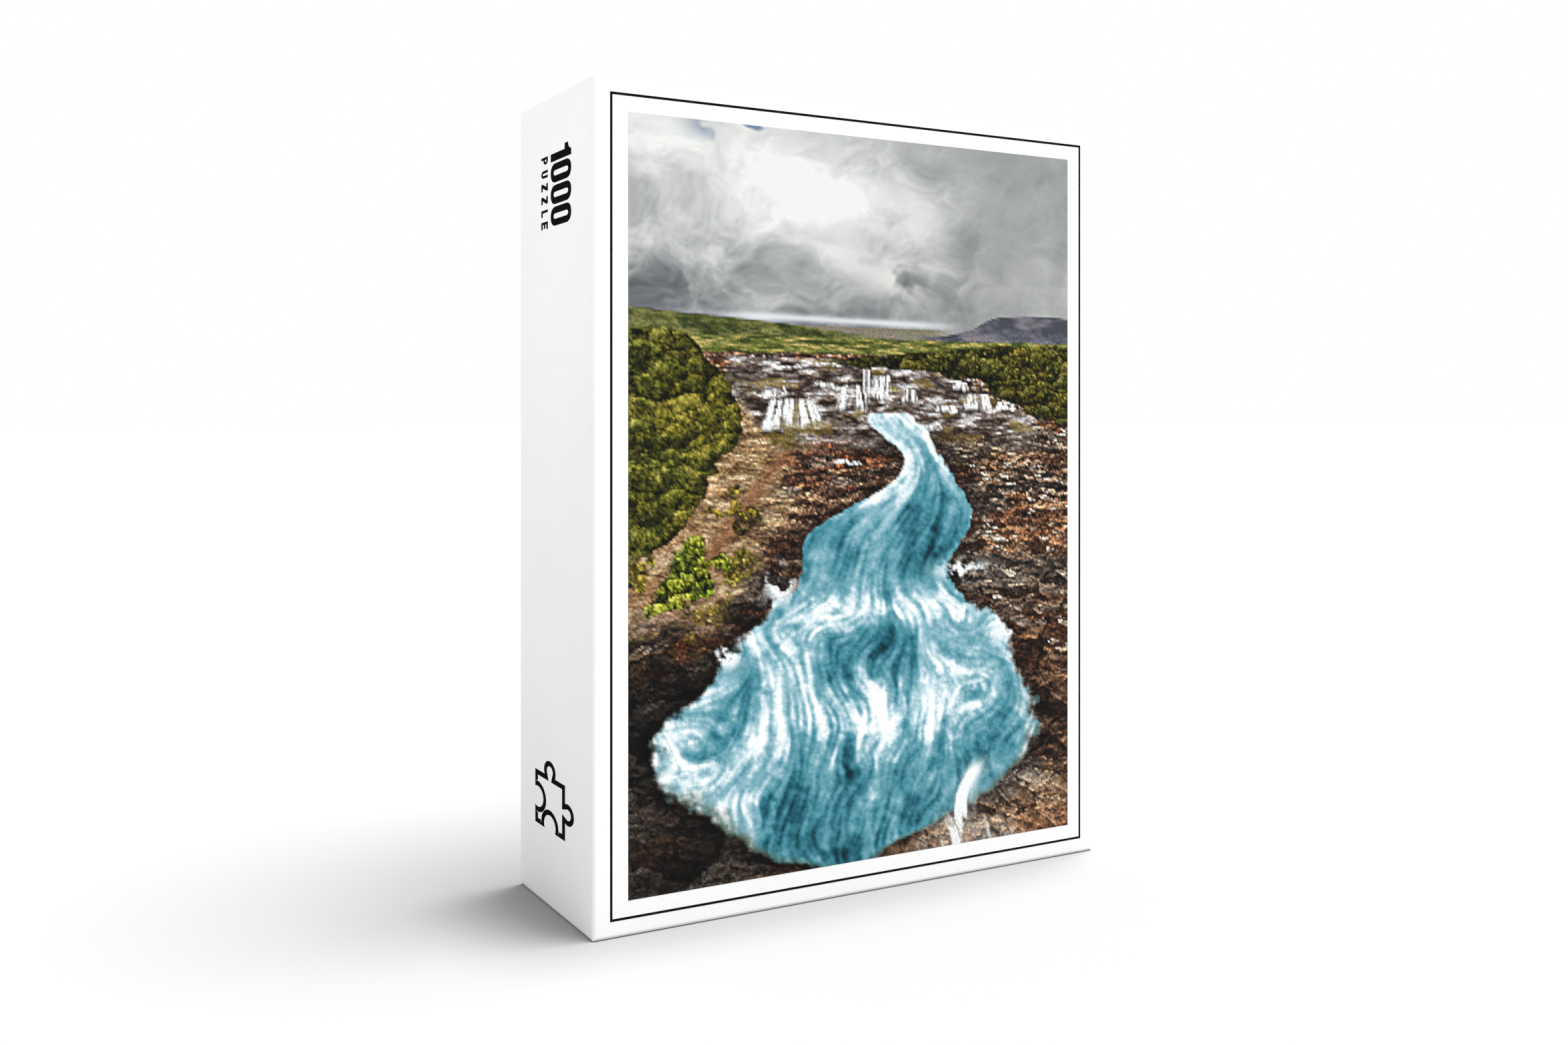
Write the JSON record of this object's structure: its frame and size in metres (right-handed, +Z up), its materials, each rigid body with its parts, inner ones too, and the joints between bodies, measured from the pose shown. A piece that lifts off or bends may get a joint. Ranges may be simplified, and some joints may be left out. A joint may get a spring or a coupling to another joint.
{
  "type": "boxed jigsaw puzzle",
  "caption": "Rigid board box standing on end, with a full-depth lid that pulls off a tray holding a sealed bag of loose interlocking puzzle pieces and a folded leaflet.",
  "frame": {"origin": "middle of the underside of the standing box, on the surface it stands on", "axes": "+Z up along the box's height, +X to the right seen from the front, +Y from the printed front of the lid towards the bottom of the base tray"},
  "size_m": [0.201, 0.067, 0.27],
  "materials": {
    "greyboard": "rough uncoated greyboard",
    "stay_tape": "gummed kraft paper tape",
    "lid_paper": "printed white art paper with a satin film",
    "base_paper": "white art paper, satin",
    "leaflet_paper": "thin uncoated paper",
    "film": "clear polythene film",
    "puzzle_board": "die-cut board with a printed face"
  },
  "bodies": {
    "base": {"base_board": "greyboard", "base_corner_stays": "stay_tape", "base_wrap": "base_paper"},
    "lid": {"lid_board": "greyboard", "lid_corner_stays": "stay_tape", "lid_wrap": "lid_paper"},
    "bag": {"piece_bag": "film", "pieces_row_01": "puzzle_board", "pieces_row_02": "puzzle_board", "pieces_row_03": "puzzle_board", "pieces_row_04": "puzzle_board", "pieces_row_05": "puzzle_board", "pieces_row_06": "puzzle_board", "pieces_row_07": "puzzle_board", "pieces_row_08": "puzzle_board", "pieces_row_09": "puzzle_board", "pieces_row_10": "puzzle_board", "pieces_row_11": "puzzle_board", "pieces_row_12": "puzzle_board", "pieces_row_13": "puzzle_board", "pieces_row_14": "puzzle_board", "pieces_row_15": "puzzle_board", "pieces_row_16": "puzzle_board", "pieces_row_17": "puzzle_board", "pieces_row_18": "puzzle_board", "pieces_row_19": "puzzle_board", "pieces_row_20": "puzzle_board", "pieces_row_21": "puzzle_board", "pieces_row_22": "puzzle_board", "pieces_row_23": "puzzle_board", "pieces_row_24": "puzzle_board", "pieces_row_25": "puzzle_board"},
    "leaflet": {"leaflet": "leaflet_paper"}
  },
  "joints": [
    {"name": "lid_pull", "type": "slide", "parent": "base", "child": "lid", "axis": [0, -1, 0], "range_m": [0, 0.16]},
    {"name": "bag_pull", "type": "slide", "parent": "base", "child": "bag", "axis": [0, -1, 0], "range_m": [0, 0.09]},
    {"name": "leaflet_pull", "type": "slide", "parent": "base", "child": "leaflet", "axis": [0, -1, 0], "range_m": [0, 0.095]}
  ],
  "couplings": [
    {"joint": "bag_pull", "follows": "lid_pull", "ratio": 0.55},
    {"joint": "leaflet_pull", "follows": "lid_pull", "ratio": 0.58}
  ]
}
